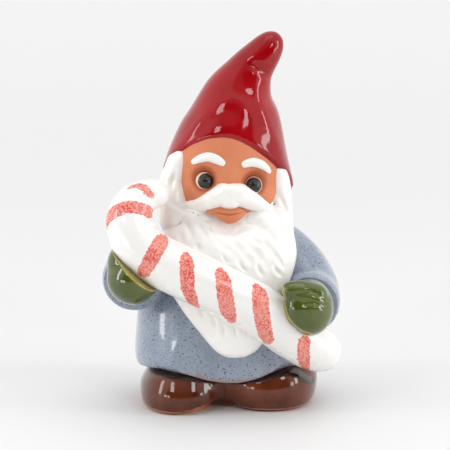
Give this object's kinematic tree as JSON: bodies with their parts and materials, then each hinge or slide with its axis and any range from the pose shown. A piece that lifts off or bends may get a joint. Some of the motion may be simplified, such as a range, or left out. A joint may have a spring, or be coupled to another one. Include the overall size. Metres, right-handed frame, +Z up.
{
  "type": "gnome figurine",
  "caption": "Glazed red clay gnome figurine with a tall bent hat, a long beard and mittens, hugging a striped candy cane.",
  "frame": {"origin": "on the standing plane, midway between the two boots", "axes": "+Z up through the hat, the gnome faces -Y, +X to its own left hand"},
  "size_m": [0.0944, 0.0754, 0.15],
  "materials": {
    "bare_clay": "matte",
    "hat_glaze": "gloss",
    "white_glaze": "gloss",
    "cane_glaze": "gloss",
    "coat_glaze": "gloss",
    "mitten_glaze": "gloss",
    "boot_glaze": "gloss",
    "eye_glaze": "gloss"
  },
  "bodies": {
    "root": {"foot_slab": "bare_clay", "right_boot": "boot_glaze", "left_boot": "boot_glaze", "coat_body": "coat_glaze", "right_sleeve": "coat_glaze", "left_sleeve": "coat_glaze", "right_mitten": "mitten_glaze", "left_mitten": "mitten_glaze", "head": "bare_clay", "lower_lip": "bare_clay", "hat": "hat_glaze", "right_eye": "eye_glaze", "left_eye": "eye_glaze", "right_eyebrow": "white_glaze", "left_eyebrow": "white_glaze", "moustache": "white_glaze", "right_hair_lock": "white_glaze", "left_hair_lock": "white_glaze", "nape_hair": "white_glaze", "beard": "white_glaze", "candy_cane": "cane_glaze"}
  },
  "joints": []
}
